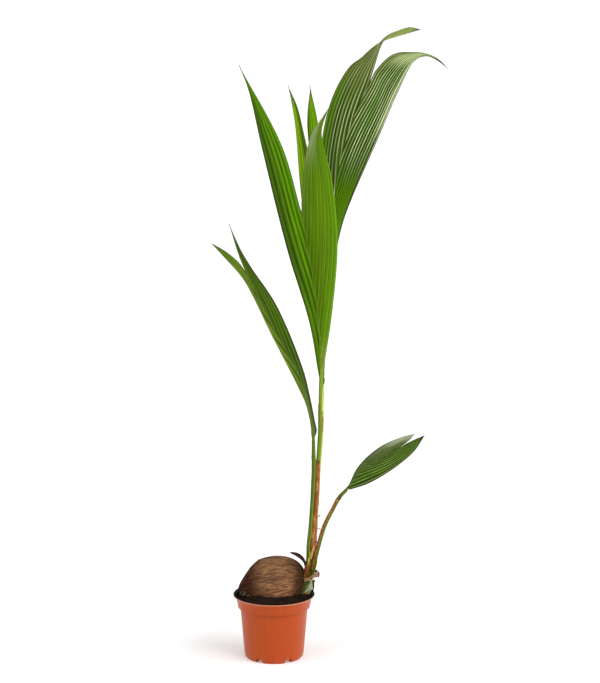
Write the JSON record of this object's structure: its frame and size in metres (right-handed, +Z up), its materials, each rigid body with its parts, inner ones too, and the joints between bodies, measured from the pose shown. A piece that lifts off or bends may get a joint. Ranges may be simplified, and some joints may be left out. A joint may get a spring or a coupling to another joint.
{
  "type": "potted coconut palm seedling",
  "caption": "Young coconut palm sprouting from a husked nut that lies in a round nursery pot, with slender upright stalks and pleated two-lobed leaves.",
  "frame": {"origin": "centre of the flat pad in the middle of the pot's underside", "axes": "+Z up, along the pot's axis; -Y towards the front, the side of the front leaf; +X towards the shoot end of the nut"},
  "size_m": [0.5477, 0.2625, 1.4542],
  "materials": {
    "pot_plastic": "satin thermoformed plastic, terracotta orange outside and black inside",
    "compost": "damp dark peat compost",
    "husk": "dry brown fibrous coconut husk",
    "shoot": "green sheath with pale streaks",
    "stem": "smooth green leaf stalk with a dry brown sheath",
    "dry_sheath": "dry curled brown sheath",
    "leaf_mid": "semi-gloss green leaf",
    "leaf_dark": "semi-gloss dark green leaf with pale ribs",
    "leaf_young": "semi-gloss yellow-green leaf",
    "leaf_old": "satin olive green leaf"
  },
  "bodies": {
    "root": {"pot": "pot_plastic", "compost": "compost", "nut": "husk", "shoot_base": "shoot", "sheath_stub": "shoot", "stem": "stem", "stalk_left": "stem", "stalk_right": "stem", "bract_left": "dry_sheath", "bract_right": "dry_sheath", "leaf_front": "leaf_mid", "leaf_back": "leaf_dark", "leaf_inner": "leaf_young", "leaf_left": "leaf_old", "leaf_right": "leaf_dark"}
  },
  "joints": []
}
